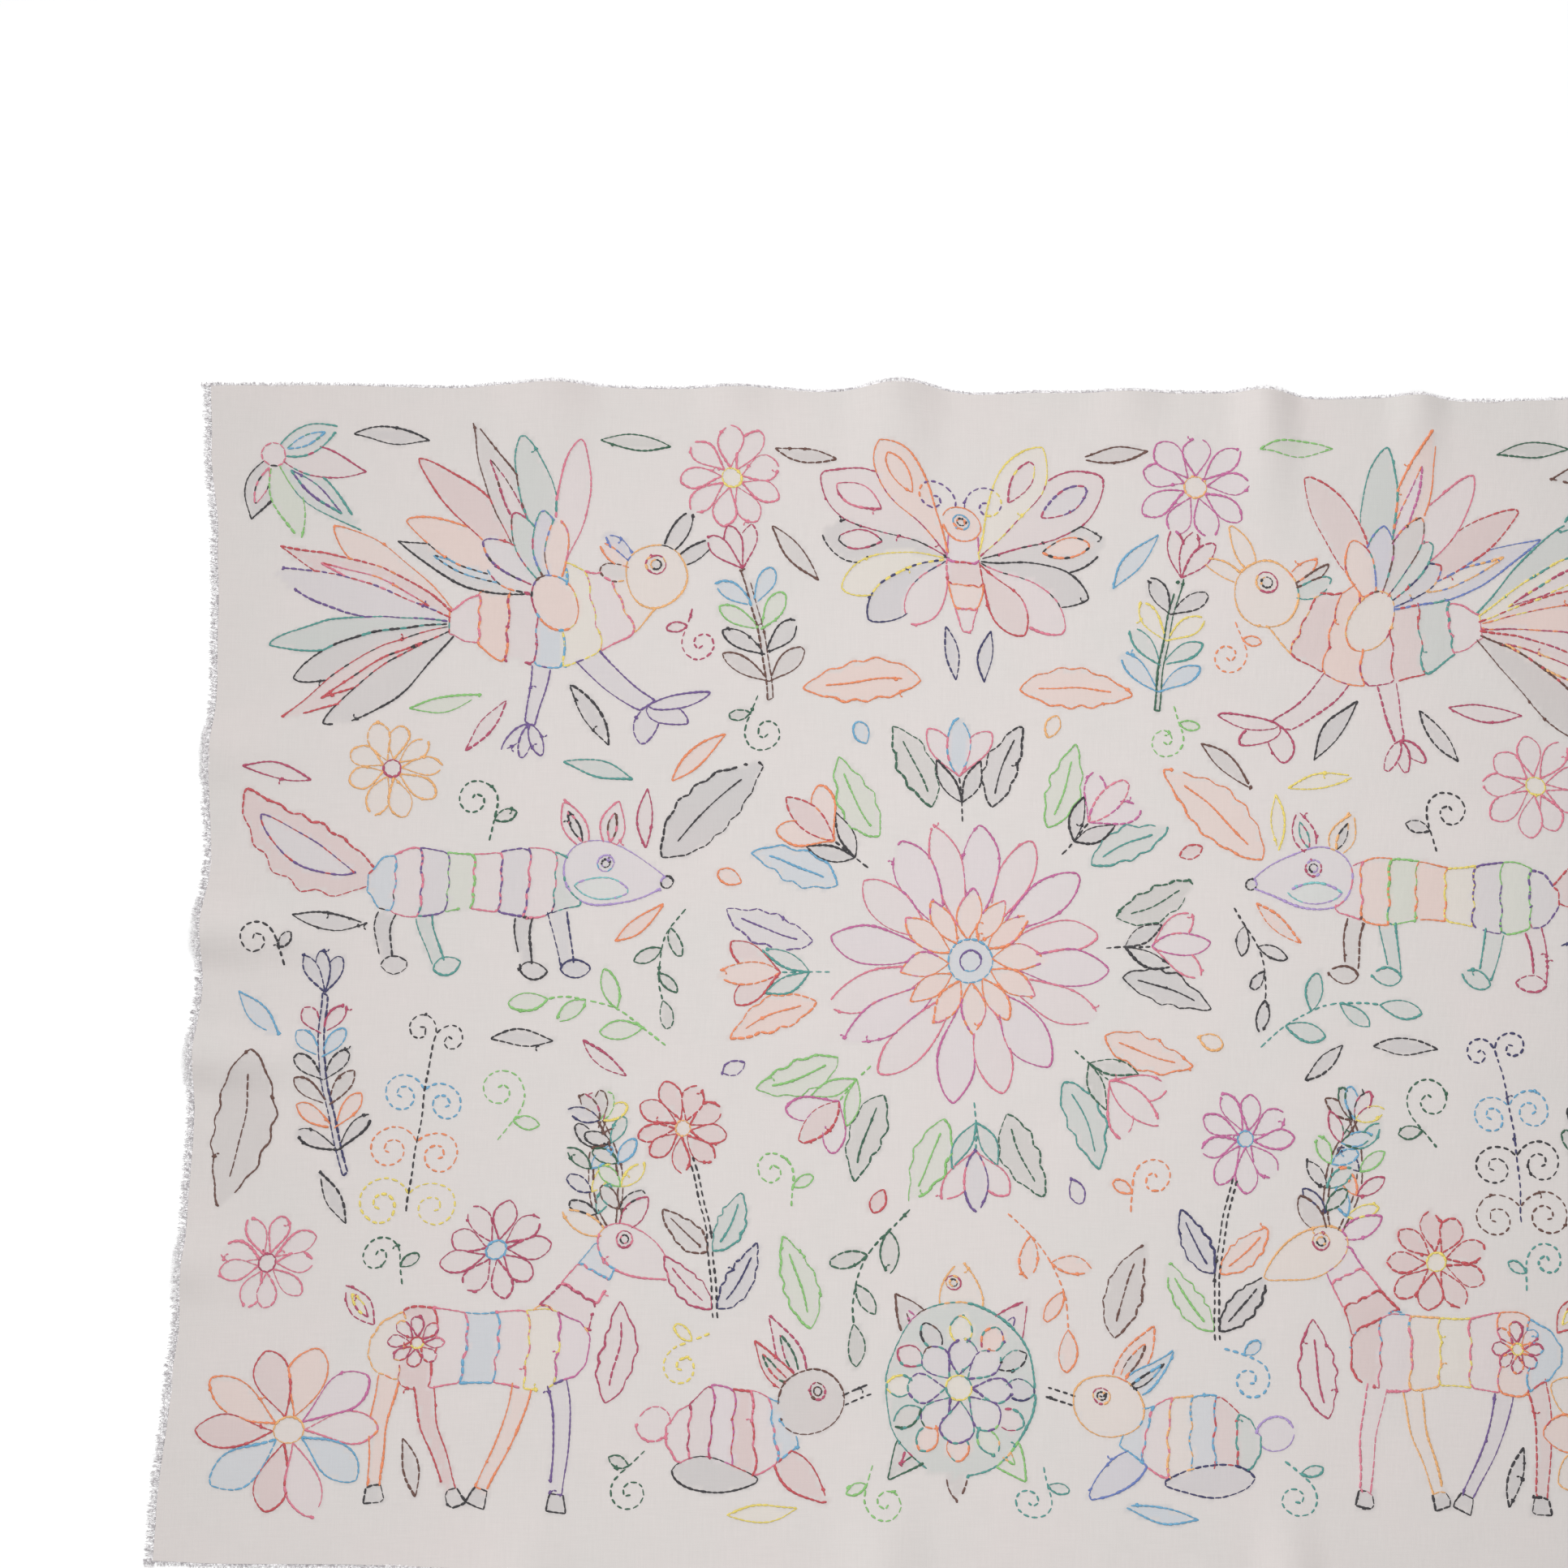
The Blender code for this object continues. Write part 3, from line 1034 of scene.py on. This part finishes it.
def strand_mesh(name, centre, half_width, half_height, sides):
    """Joined closed strands. centre is (strands, stations, 3), with a tip as first and last station.

    The attribute ply counts the thin strands that a thread is laid from, around it and along it.
    """
    count, stations, _ = centre.shape
    heading = np.gradient(centre[..., :2], axis=1)
    heading /= np.maximum(np.linalg.norm(heading, axis=-1, keepdims=True), 1e-12)
    sideways = np.stack([-heading[..., 1], heading[..., 0], np.zeros((count, stations))], axis=-1)
    angle = 2 * math.pi * np.arange(sides) / sides
    rings = (
        centre[:, 1:-1, None, :]
        + sideways[:, 1:-1, None, :] * (np.cos(angle)[:, None] * half_width[:, :, None, None])
        + np.array([0, 0, 1.0]) * (np.sin(angle)[:, None] * half_height[:, :, None, None])
    )
    points = np.concatenate([centre[:, :1], rings.reshape(count, -1, 3), centre[:, -1:]], axis=1)
    size = points.shape[1]
    side = np.arange(sides)
    after = (side + 1) % sides
    first_ring, last_ring = 1, size - 1 - sides
    caps = [
        np.stack([np.zeros_like(side), first_ring + after, first_ring + side], 1),
        np.stack([last_ring + side, last_ring + after, np.full_like(side, size - 1)], 1),
    ]
    walls = []
    for near in range(first_ring, last_ring, sides):
        far = near + sides
        walls.append(np.stack([near + side, near + after, far + after, far + side], 1))
    shift = (np.arange(count) * size)[:, None, None]
    triangles = (np.concatenate(caps)[None] + shift).reshape(-1, 3)
    quads = (np.concatenate(walls)[None] + shift).reshape(-1, 4)
    mesh = bpy.data.meshes.new(name)
    mesh.from_pydata(points.reshape(-1, 3).tolist(), [], triangles.tolist() + quads.tolist())
    along = np.zeros((count, stations))
    along[:, 1:] = np.cumsum(np.linalg.norm(np.diff(centre, axis=1), axis=-1), axis=1)
    around = np.concatenate([[0], np.tile(side / sides, stations - 2), [0]])
    plies = PLIES * (around + np.repeat(along, [1, *[sides] * (stations - 2), 1], axis=1) / PLY_TWIST)
    plies += np.arange(count)[:, None] * 0.618
    mesh.attributes.new("ply", "FLOAT", "POINT").data.foreach_set("value", plies.astype(np.float32).ravel())
    mesh.shade_smooth()
    made = bpy.data.objects.new(name, mesh)
    bpy.context.scene.collection.objects.link(made)
    return made


def surface(places, relief):
    """Where drawing places lie on the upper face of the cloth, its relief included."""
    u, v = places.real * MM, places.imag * MM
    on = laid(u, v)
    on[..., 2] += CLOTH_THICKNESS / 2 + relief(u, v)
    return on


def thread_pieces(stitches, relief):
    """One joined piece of stitches for each thread colour."""
    stations = np.array(STITCH_STATIONS)
    rise = np.array(STITCH_RISE) * MM
    taper = np.array(STITCH_TAPER)
    pieces = []
    for index, name in enumerate(THREADS):
        chosen = stitches.colours == index
        if not chosen.any():
            continue
        starts, ends = stitches.starts[chosen, None], stitches.ends[chosen, None]
        centre = surface(starts + (ends - starts) * stations, relief)
        centre[..., 2] += rise
        half = stitches.widths[chosen, None] * MM / 2 * taper
        piece = strand_mesh(f"stitches_{name}", centre, half, half * THREAD_FLATNESS, STITCH_SIDES)
        piece.data.materials.append(thread_material(name))
        pieces.append(piece)
    return pieces


def grid_places(columns, rows):
    """Flat places of the mesh of the woven cloth, inside its frayed ends."""
    u = np.linspace(-LONG_SIDE / 2 + FRAY["left"], LONG_SIDE / 2 - FRAY["right"], columns + 1)
    v = np.linspace(-SHORT_SIDE / 2 + FRAY["bottom"], SHORT_SIDE / 2 - FRAY["top"], rows + 1)
    return np.meshgrid(u, v, indexing="ij")


def blurred(field, passes):
    for _ in range(passes):
        padded = np.pad(field, 1, mode="edge")
        field = (
            4 * field + padded[:-2, 1:-1] + padded[2:, 1:-1] + padded[1:-1, :-2] + padded[1:-1, 2:]
        ) / 8
    return field


def filling(marks, u, v):
    """For each mesh place, the thread colour of the filling on the far face, and how strongly it shows."""
    places = (u + 1j * v).ravel() / MM
    tint = np.zeros((len(places), 4))
    for mark in marks:
        if not mark.filled:
            continue
        near = np.flatnonzero(in_box(places, mark.points))
        found = near[inside(places[near], mark.points)]
        colour = linear(FILLINGS.get(mark.colour, THREADS[mark.colour]))
        share = FILLING_SHARES.get(mark.colour, 1.0)
        tint[found, :3] = colour + (colour.mean() - colour) * (THIN_VEIL if share > 1 else COMMON_VEIL)
        tint[found, 3] = draw.uniform(0.65, 1.0) * share
    return tint


def relief_of(stitches, tint, u, v):
    """Soft puckers: the stitched lines are drawn down, and filled places and bare ground swell a little."""
    density = np.zeros(u.shape)
    middles = (stitches.starts + stitches.ends) / 2 * MM
    column = np.round((middles.real - u[0, 0]) / (u[-1, 0] - u[0, 0]) * (u.shape[0] - 1)).astype(int)
    row = np.round((middles.imag - v[0, 0]) / (v[0, -1] - v[0, 0]) * (u.shape[1] - 1)).astype(int)
    np.add.at(density, (column.clip(0, u.shape[0] - 1), row.clip(0, u.shape[1] - 1)), 1.0)
    pulled = np.minimum(blurred(density, 1), 0.6)
    swollen = blurred((tint[:, 3] > 0).reshape(u.shape).astype(float), 2)
    waves = (
        np.sin(u * 71 + 2.1 * np.sin(v * 43)) * np.sin(v * 63 + 1.7 * np.sin(u * 37))
        + 0.6 * np.sin(u * 139 + v * 87) * np.sin(v * 151 - u * 61)
    )
    return blurred((SWELL * swollen - PULL * pulled + SLACK * waves) * MM, 1)


def relief_sampler(field, u, v):
    """A function that reads the relief at any flat place."""

    def read(at_u, at_v):
        across = np.clip((at_u - u[0, 0]) / (u[-1, 0] - u[0, 0]) * (u.shape[0] - 1), 0, u.shape[0] - 1.001)
        up = np.clip((at_v - v[0, 0]) / (v[0, -1] - v[0, 0]) * (u.shape[1] - 1), 0, u.shape[1] - 1.001)
        i, j = across.astype(int), up.astype(int)
        a, b = across - i, up - j
        return (
            field[i, j] * (1 - a) * (1 - b)
            + field[i + 1, j] * a * (1 - b)
            + field[i, j + 1] * (1 - a) * b
            + field[i + 1, j + 1] * a * b
        )

    return read


def cloth_piece(u, v, relief_field, tint):
    grid = bmesh.new()
    bmesh.ops.create_grid(grid, x_segments=COLUMNS, y_segments=ROWS, size=0.5)
    places = laid(u, v)
    places[..., 2] += relief_field
    order = np.empty(len(grid.verts), int)
    for corner in grid.verts:
        column = round((corner.co.x + 0.5) * COLUMNS)
        row = round((corner.co.y + 0.5) * ROWS)
        corner.co = places[column, row]
        order[corner.index] = column * (ROWS + 1) + row
    for edge in grid.edges:
        edge.smooth = not edge.is_boundary
    mesh = bpy.data.meshes.new("muslin_cloth")
    grid.to_mesh(mesh)
    grid.free()
    shown = mesh.attributes.new("filling", "FLOAT_COLOR", "POINT")
    shown.data.foreach_set("color", tint[order].astype(np.float32).ravel())
    mesh.shade_smooth()
    cloth = bpy.data.objects.new("muslin_cloth", mesh)
    bpy.context.scene.collection.objects.link(cloth)
    mesh.materials.append(muslin_material("muslin_wrong_side", WRONG_SIDE_FILLING))
    mesh.materials.append(muslin_material("muslin_right_side", RIGHT_SIDE_FILLING))
    body = cloth.modifiers.new("thickness", "SOLIDIFY")
    body.thickness = CLOTH_THICKNESS
    body.offset = 0.0
    body.material_offset = 1
    return cloth


def at_edge(edge, along, out):
    """Flat places by their distance along an edge of the woven cloth and out from it."""
    woven = (SHORT_SIDE if edge in ("top", "bottom") else LONG_SIDE) / 2 - FRAY[edge]
    if edge in ("top", "bottom"):
        return along, (1 if edge == "top" else -1) * (woven + out)
    return (1 if edge == "right" else -1) * (woven + out), along


def yarn_ends():
    """The bare ends of the cut yarns around the cloth."""
    paths = []
    shares = np.linspace(0, 1, 6)
    for edge, fray in FRAY.items():
        count = int(edge_length(edge) / YARN_SPACING)
        along = (np.arange(count) + 0.5) * YARN_SPACING - edge_length(edge) / 2
        along += draw.normal(0, 0.25 * MM, count)
        ragged = 0.87 + 0.07 * np.sin(along * 310) + 0.06 * np.sin(along * 830 + 1.0)
        reach = fray * (ragged + draw.normal(0, 0.12, count)).clip(0.25, 1.06)
        clumped = 0.22 * np.sin(along * 1900 + 2 * np.sin(along * 270)) + draw.normal(0, 0.24, count)
        lean = clumped[:, None] * shares * reach[:, None]
        sway = np.cumsum(draw.normal(0, 0.24 * MM, (count, len(shares))), axis=1) * shares
        out = (reach + YARN_ROOT)[:, None] * shares - YARN_ROOT
        path = laid(*at_edge(edge, along[:, None] + lean + sway, out))
        path[..., 2] += (draw.normal(0, 0.12 * MM, (count, 1)) - YARN_DROP) * shares
        paths.append(path)
    centre = np.concatenate(paths)
    radius = np.array(YARN_RADII) * MM * draw.normal(1, 0.15, (len(centre), 1)).clip(0.6, 1.4)
    made = strand_mesh("frayed_yarn_ends", centre, radius, radius, 3)
    made.data.materials.append(yarn_material())
    return made


def loose_yarns():
    """Lengths of yarn that have nearly worked free, lying along the edges among the ends."""
    paths = []
    shares = np.linspace(0, 1, 40)
    for edge, fray in FRAY.items():
        for _ in range(int(edge_length(edge) / LOOSE_YARN_SPACING)):
            length = draw.uniform(*LOOSE_YARN)
            first = draw.uniform(-edge_length(edge) / 2, edge_length(edge) / 2 - length)
            along = first + length * shares
            place = draw.uniform(0.04, 0.70) ** 1.4
            waver = 0.10 * np.sin(along * 210 + 9 * place) + 0.09 * np.sin(along * 470 + draw.uniform(0, 6))
            path = laid(*at_edge(edge, along, fray * (place + waver)))
            path[:, 2] -= YARN_DROP * place
            paths.append(path)
    radius = np.full((len(paths), len(shares) - 2), LOOSE_YARN_RADIUS * MM)
    made = strand_mesh("loose_edge_yarns", np.array(paths), radius, radius, 4)
    made.data.materials.append(yarn_material())
    return made


# Materials


def linear(colour):
    """sRGB from 0 to 255 as linear light."""
    share = np.array(colour) / 255
    return np.where(share <= 0.04045, share / 12.92, ((share + 0.055) / 1.055) ** 2.4)


class Finish:
    """A material whose nodes are added by name."""

    def __init__(self, name, colour, roughness):
        self.material = bpy.data.materials.new(name)
        self.material.use_nodes = True
        self.tree = self.material.node_tree
        self.shader = self.tree.nodes["Principled BSDF"]
        self.set(self.shader, "Base Color", (*colour, 1.0))
        self.set(self.shader, "Roughness", roughness)

    def set(self, node, socket, value):
        node.inputs[socket].default_value = value

    def node(self, kind, **values):
        made = self.tree.nodes.new(kind)
        for key, value in values.items():
            if isinstance(value, bpy.types.NodeSocket):
                self.tree.links.new(value, made.inputs[key])
            elif key in made.inputs:
                made.inputs[key].default_value = value
            else:
                setattr(made, key, value)
        return made

    def link(self, output, node, socket):
        self.tree.links.new(output, node.inputs[socket])


def mixed(finish, kind, factor, a, b):
    """The output of a colour mix; a and b are sockets or colours."""
    node = finish.tree.nodes.new("ShaderNodeMix")
    node.data_type = "RGBA"
    node.blend_type = kind
    for socket, value in ((node.inputs["Factor"], factor), (node.inputs[6], a), (node.inputs[7], b)):
        if isinstance(value, bpy.types.NodeSocket):
            finish.tree.links.new(value, socket)
        else:
            socket.default_value = value
    return node.outputs[2]


def worked(finish, operation, *values, use_clamp=False):
    """The output of a Math node; each value is a socket or a number."""
    node = finish.node("ShaderNodeMath", operation=operation, use_clamp=use_clamp)
    for place, value in enumerate(values):
        if isinstance(value, bpy.types.NodeSocket):
            finish.link(value, node, place)
        else:
            finish.set(node, place, value)
    return node.outputs[0]


MUSLIN = (0.560, 0.525, 0.510)
MUSLIN_PINK = (0.590, 0.536, 0.524)
MUSLIN_GREY = (0.548, 0.532, 0.514)
YARN_DARK = (0.46, 0.43, 0.45)
YARN_PALE = (0.95, 0.93, 0.94)
FLOOR_PAPER = (0.92, 0.92, 0.92)
CLOTH_ROUGHNESS = 0.92
THREAD_ROUGHNESS = 0.62
YARN_ROUGHNESS = 0.9
FLOOR_ROUGHNESS = 0.9
DARK_STRETCH = (0.74, 0.015)  # a thread's colour there: a share of its own, and white added
PALE_STRETCH = (1.06, 0.050)
GROOVE_PAINTED_SHADE = (0.78, 0.78, 0.78, 1)  # painted shade on a thread in the grooves between its strands, and painted highlight on the strands
RIDGE_PAINTED_HIGHLIGHT = (1.12, 1.12, 1.12, 1)
WRONG_SIDE_FILLING = 0.18  # how strongly the filling shows on each face
RIGHT_SIDE_FILLING = 0.92
YARN_PITCH = 0.00052
WEAVE_DEPTH = 0.00020
THREAD_FIBRES = (2600.0, 0.00012)  # the scale of the fibres' noise, and the depth of the grooves
YARN_FIBRES = (5200.0, 0.00005)
WAVE_BANDS = 20 / (2 * math.pi)  # how many bands a wave texture of scale 1 has in a metre


def muslin_material(name, strength):
    """Plain weave with slubs and faint blotches, and the far face's filling showing by strength."""
    finish = Finish(name, MUSLIN, CLOTH_ROUGHNESS)
    finish.set(finish.shader, "Sheen Weight", 0.15)
    finish.set(finish.shader, "Sheen Roughness", 0.5)
    finish.set(finish.shader, "Specular IOR Level", 0.2)
    place = finish.node("ShaderNodeTexCoord").outputs["Object"]
    blotch = finish.node("ShaderNodeTexNoise", Vector=place, Scale=16.0, Detail=3.0).outputs["Fac"]
    ground = mixed(finish, "MIX", blotch, (*MUSLIN_PINK, 1), (*MUSLIN_GREY, 1))
    threads = []
    for stretch in ((60, 1900, 60), (1900, 60, 60)):
        spread = finish.node("ShaderNodeMapping", Vector=place, Scale=stretch).outputs["Vector"]
        noise = finish.node("ShaderNodeTexNoise", Vector=spread, Scale=1.0, Detail=1.0)
        threads.append(noise.outputs["Fac"])
    slub = worked(finish, "ADD", *threads)
    shade = finish.node("ShaderNodeMapRange", Value=slub)
    for socket, value in (("From Min", 0.7), ("From Max", 1.3), ("To Min", 0.978), ("To Max", 1.022)):
        finish.set(shade, socket, value)
    ground = mixed(finish, "MULTIPLY", 1.0, ground, shade.outputs["Result"])
    shown = finish.node("ShaderNodeAttribute", attribute_name="filling")
    share = worked(finish, "MULTIPLY", shown.outputs["Alpha"], strength, use_clamp=True)
    base = mixed(finish, "MIX", share, ground, shown.outputs["Color"])
    finish.link(base, finish.shader, "Base Color")
    waves = []
    for direction in ("X", "Y"):
        wave = finish.node("ShaderNodeTexWave", Vector=place, bands_direction=direction)
        finish.set(wave, "Scale", 1 / (YARN_PITCH * WAVE_BANDS))
        waves.append(wave.outputs["Fac"])
    rough = worked(finish, "ADD", worked(finish, "ADD", *waves), slub)
    bump = finish.node("ShaderNodeBump", Height=rough, Strength=0.30, Distance=WEAVE_DEPTH)
    finish.link(bump.outputs["Normal"], finish.shader, "Normal")
    return finish.material


def laid_strands(finish, fibre_scale, depth):
    """The thin strands of a thread, from 0 in their grooves to 1 on them, and a bump of them."""
    plies = finish.node("ShaderNodeAttribute", attribute_name="ply").outputs["Fac"]
    wave = worked(finish, "SINE", worked(finish, "MULTIPLY", plies, 2 * math.pi))
    strands = finish.node("ShaderNodeMapRange", Value=wave)
    finish.set(strands, "From Min", -1.0)
    place = finish.node("ShaderNodeTexCoord").outputs["Object"]
    fibre = finish.node("ShaderNodeTexNoise", Vector=place, Scale=fibre_scale, Detail=1.0).outputs["Fac"]
    height = worked(finish, "ADD", strands.outputs["Result"], fibre)
    bump = finish.node("ShaderNodeBump", Height=height, Strength=0.6, Distance=depth)
    finish.link(bump.outputs["Normal"], finish.shader, "Normal")
    return strands.outputs["Result"]


def thread_material(name):
    """Stranded cotton: thin strands side by side, the colour a little uneven, with a soft sheen, painted
    shade in the grooves between the strands and painted highlight on them.
    """
    colour = linear(THREADS[name])
    finish = Finish(f"thread_{name}", colour, THREAD_ROUGHNESS)
    finish.set(finish.shader, "Sheen Weight", 0.12)
    finish.set(finish.shader, "Specular IOR Level", 0.25)
    strands = laid_strands(finish, *THREAD_FIBRES)
    place = finish.node("ShaderNodeTexCoord").outputs["Object"]
    uneven = finish.node("ShaderNodeTexNoise", Vector=place, Scale=130.0, Detail=2.0).outputs["Fac"]
    shades = []
    for own, white in (DARK_STRETCH, PALE_STRETCH):
        shades.append((*(float(x) for x in colour * own + white), 1))
    base = mixed(finish, "MIX", uneven, *shades)
    # Painted shade and highlight: the thread's colour is darkened in the grooves between its strands and
    # lightened on the strands
    shade = mixed(finish, "MIX", strands, GROOVE_PAINTED_SHADE, RIDGE_PAINTED_HIGHLIGHT)
    finish.link(mixed(finish, "MULTIPLY", 1.0, base, shade), finish.shader, "Base Color")
    return finish.material


def yarn_material():
    """The bare cotton yarn of the cloth."""
    found = bpy.data.materials.get("bare_yarn")
    if found:
        return found
    finish = Finish("bare_yarn", MUSLIN, YARN_ROUGHNESS)
    finish.set(finish.shader, "Sheen Weight", 0.3)
    laid_strands(finish, *YARN_FIBRES)
    place = finish.node("ShaderNodeTexCoord").outputs["Object"]
    uneven = finish.node("ShaderNodeTexNoise", Vector=place, Scale=700.0, Detail=1.0).outputs["Fac"]
    speckle = finish.node("ShaderNodeMapRange", Value=uneven)
    finish.set(speckle, "From Min", 0.36)
    finish.set(speckle, "From Max", 0.62)
    shade = mixed(finish, "MIX", speckle.outputs["Result"], (*YARN_DARK, 1), (*YARN_PALE, 1))
    finish.link(shade, finish.shader, "Base Color")
    return finish.material


# Camera, floor and light


def camera():
    tilt, roll = math.radians(VIEW_TILT), math.radians(VIEW_ROLL)
    back = Vector((0, -math.sin(tilt), math.cos(tilt)))
    right = Vector((1, 0, 0))
    up = back.cross(right)
    level = Matrix((right, up, back)).transposed()
    made = bpy.data.objects.new("camera", bpy.data.cameras.new("camera"))
    bpy.context.scene.collection.objects.link(made)
    made.data.sensor_width = VIEW_FRAME
    made.data.lens = VIEW_LENS
    place = Vector(VIEW_AIM) + back * VIEW_DISTANCE
    made.matrix_world = Matrix.Translation(place) @ (level @ Matrix.Rotation(roll, 3, "Z")).to_4x4()
    bpy.context.scene.camera = made


def floor():
    flat = bmesh.new()
    bmesh.ops.create_grid(flat, x_segments=1, y_segments=1, size=FLOOR_REACH)
    mesh = bpy.data.meshes.new("floor")
    flat.to_mesh(mesh)
    flat.free()
    made = bpy.data.objects.new("floor", mesh)
    made.location.z = FLOOR_HEIGHT
    bpy.context.scene.collection.objects.link(made)
    mesh.materials.append(Finish("floor_paper", FLOOR_PAPER, FLOOR_ROUGHNESS).material)
    return made


def area_light(lamp):
    made = bpy.data.objects.new(lamp.name, bpy.data.lights.new(lamp.name, "AREA"))
    made.data.size = lamp.size
    made.data.energy = lamp.watts
    made.location = lamp.place
    made.rotation_mode = "QUATERNION"
    made.rotation_quaternion = (Vector(lamp.place) - Vector(lamp.aim)).to_track_quat("Z", "Y")
    bpy.context.scene.collection.objects.link(made)


def light():
    world = bpy.data.worlds.new("studio")
    world.use_nodes = True
    background = world.node_tree.nodes["Background"]
    background.inputs["Color"].default_value = (1, 1, 1, 1)
    background.inputs["Strength"].default_value = WORLD_STRENGTH
    bpy.context.scene.world = world
    for lamp in LAMPS:
        area_light(lamp)
    bpy.context.scene.view_settings.view_transform = "Standard"


def main():
    marks = whole_drawing()
    stitches = stitched(marks)
    u, v = grid_places(COLUMNS, ROWS)
    tint = filling(marks, u, v)
    relief_field = relief_of(stitches, tint, u, v)
    relief = relief_sampler(relief_field, u, v)
    cloth = cloth_piece(u, v, relief_field, tint)
    threads = thread_pieces(stitches, relief)
    frays = [yarn_ends(), loose_yarns()]
    ground = floor()
    for piece in [cloth, *threads, *frays]:
        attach(piece, "root")
    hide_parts("embroidered_cloth")
    camera()
    light()
    print("stitches", len(stitches.starts), "marks", len(marks))


main()
